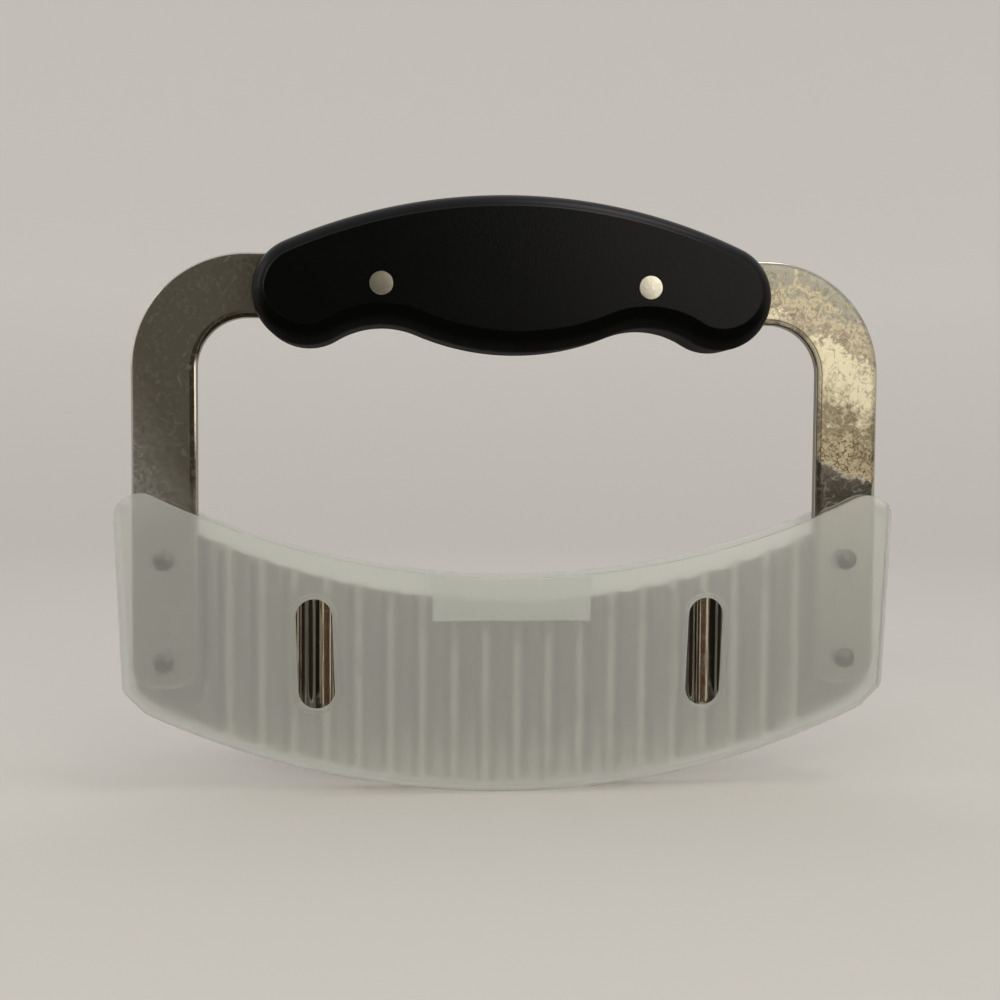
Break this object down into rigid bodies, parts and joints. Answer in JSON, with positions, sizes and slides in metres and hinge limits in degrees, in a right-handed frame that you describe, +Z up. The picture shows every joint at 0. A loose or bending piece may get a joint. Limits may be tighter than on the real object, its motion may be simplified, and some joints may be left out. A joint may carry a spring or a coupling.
{
  "type": "crinkle cutter",
  "caption": "Hand crinkle cutter: corrugated steel rocker blade riveted between the arms of a C-shaped bar with a black two-scale handle, plus a translucent push-on blade guard.",
  "frame": {"origin": "under the middle of the guard's lowest line, on the surface that it stands on, in the middle plane of the handle", "axes": "+X along the blade to the viewer's right, -Y out of the front face, +Z up from the cutting edge to the handle"},
  "size_m": [0.1784, 0.0186, 0.1356],
  "materials": {
    "handle_plastic": "black moulded plastic, fine blasted panels and a smooth rim",
    "bar_steel": "polished stainless bar with water stains",
    "blade_steel": "bright rolled stainless strip with a ground edge",
    "rivet_metal": "satin rivet heads",
    "guard_plastic": "frosted translucent polypropylene"
  },
  "bodies": {
    "guard": {"blade_guard": "guard_plastic"},
    "cutter": {"handle_front": "handle_plastic", "handle_rear": "handle_plastic", "frame": "bar_steel", "blade": "blade_steel", "blade_rivet_left_upper": "rivet_metal", "blade_rivet_left_lower": "rivet_metal", "blade_rivet_right_upper": "rivet_metal", "blade_rivet_right_lower": "rivet_metal", "handle_rivet_left_post": "rivet_metal", "handle_rivet_left_sleeve": "rivet_metal", "handle_rivet_right_post": "rivet_metal", "handle_rivet_right_sleeve": "rivet_metal"}
  },
  "joints": [
    {"name": "guard_slide", "type": "slide", "parent": "guard", "child": "cutter", "axis": [0, 0, 1], "range_m": [0, 0.052]}
  ]
}
